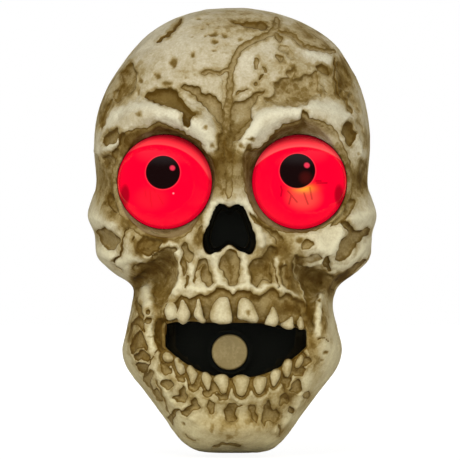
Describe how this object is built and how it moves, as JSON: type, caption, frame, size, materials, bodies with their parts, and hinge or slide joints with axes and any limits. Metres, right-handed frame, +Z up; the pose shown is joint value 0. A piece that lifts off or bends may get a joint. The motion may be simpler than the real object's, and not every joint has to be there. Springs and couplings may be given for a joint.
{
  "type": "skull door chime",
  "caption": "Wall-hung half skull door chime with glowing red eyes that look from side to side and a push button between its teeth.",
  "frame": {"origin": "on the flat back, midway between the top of the cranium and the bottom of the chin", "axes": "+Z up, the face looks along -Y, and +Y points into the wall"},
  "size_m": [0.1555, 0.0729, 0.241],
  "materials": {
    "bone_plastic": "moulded, bone coloured, brown wash rubbed into the hollows",
    "black_gloss": "glossy black",
    "button_tan": "satin tan",
    "contact_rubber": "conductive rubber",
    "eye_red": "glossy, translucent, lit red from inside, printed pupil and veins",
    "white_plastic": "natural white moulding",
    "grey_plastic": "fine textured dark grey",
    "steel": "bright plated",
    "gearbox_brass": "brass plates",
    "circuit_board": "green solder mask",
    "lamp_lens": "clear red epoxy",
    "chip_epoxy": "black epoxy drop",
    "speaker_frame": "pressed steel, black",
    "speaker_paper": "black paper cone",
    "cell_jacket": null,
    "switch_black": "black",
    "lead_red": "insulated wire"
  },
  "bodies": {
    "skull": {"skull_shell": "bone_plastic", "nose_insert": "black_gloss", "mouth_panel": "black_gloss", "eye_carrier": "grey_plastic", "back_cover": "grey_plastic", "motor_strap": "grey_plastic", "mouth_panel_screw_left": "steel", "mouth_panel_screw_right": "steel", "button_spring": "steel", "left_upper_pin": "steel", "left_lower_pin": "steel", "right_upper_pin": "steel", "right_lower_pin": "steel", "carrier_screw_upper_left": "steel", "carrier_screw_upper_right": "steel", "carrier_screw_lower_left": "steel", "carrier_screw_lower_right": "steel", "eye_motor": "steel", "shell_screw_top_left": "steel", "shell_screw_top_right": "steel", "shell_screw_cheek_left": "steel", "shell_screw_cheek_right": "steel", "shell_screw_jaw_left": "steel", "shell_screw_jaw_right": "steel", "contact_plus": "steel", "contact_bridge_left": "steel", "contact_bridge_right": "steel", "contact_minus": "steel", "switch_body": "steel", "main_board_screw_low": "steel", "main_board_screw_high": "steel", "motor_gearbox": "gearbox_brass", "button_board": "circuit_board", "left_lamp_board": "circuit_board", "right_lamp_board": "circuit_board", "main_board": "circuit_board", "left_lamp": "lamp_lens", "right_lamp": "lamp_lens", "sound_chip": "chip_epoxy", "speaker_basket": "speaker_frame", "speaker_cone": "speaker_paper", "upper_cell": "cell_jacket", "middle_cell": "cell_jacket", "lower_cell": "cell_jacket", "battery_lead": "lead_red", "speaker_lead": "lead_red", "motor_lead": "lead_red", "left_lamp_lead": "lead_red", "right_lamp_lead": "lead_red", "button_lead": "lead_red"},
    "push_button": {"push_button": "button_tan", "contact_pad": "contact_rubber"},
    "left_eye": {"left_eyeball": "eye_red", "left_eye_cup": "white_plastic"},
    "right_eye": {"right_eyeball": "eye_red", "right_eye_cup": "white_plastic"},
    "tie_bar": {"eye_tie_bar": "white_plastic"},
    "pinion": {"motor_pinion": "white_plastic"},
    "power_switch": {"switch_knob": "switch_black"},
    "battery_door": {"battery_door": "grey_plastic"}
  },
  "joints": [
    {"name": "button_press", "type": "slide", "parent": "skull", "child": "push_button", "axis": [0, 1, 0], "range_m": [0, 0.0025], "stiffness_N_per_m": 300, "springref_m": -0.003, "deforming": ["button_spring"]},
    {"name": "left_eye_turn", "type": "hinge", "parent": "skull", "child": "left_eye", "pos_m": [-0.036, -0.043, 0.026], "axis": [0, 0, 1], "range_deg": [-20, 20]},
    {"name": "right_eye_turn", "type": "hinge", "parent": "skull", "child": "right_eye", "pos_m": [0.036, -0.043, 0.026], "axis": [0, 0, 1], "range_deg": [-20, 20]},
    {"name": "tie_bar_slide", "type": "slide", "parent": "skull", "child": "tie_bar", "axis": [1, 0, 0], "range_m": [-0.0064, 0.0064]},
    {"name": "pinion_spin", "type": "hinge", "parent": "skull", "child": "pinion", "pos_m": [0, -0.01427, 0.05], "axis": [0, 0, 1], "range_deg": [-58, 58]},
    {"name": "power_slide", "type": "slide", "parent": "skull", "child": "power_switch", "axis": [1, 0, 0], "range_m": [0, 0.004]},
    {"name": "battery_door_turn", "type": "hinge", "parent": "skull", "child": "battery_door", "pos_m": [0, -0.0002, -0.05355], "axis": [-1, 0, 0], "range_deg": [0, 75]}
  ],
  "couplings": [
    {"joint": "right_eye_turn", "follows": "left_eye_turn", "ratio": 1},
    {"joint": "tie_bar_slide", "follows": "left_eye_turn", "m_per_rad": -0.0178},
    {"joint": "pinion_spin", "follows": "left_eye_turn", "ratio": -2.8254}
  ]
}
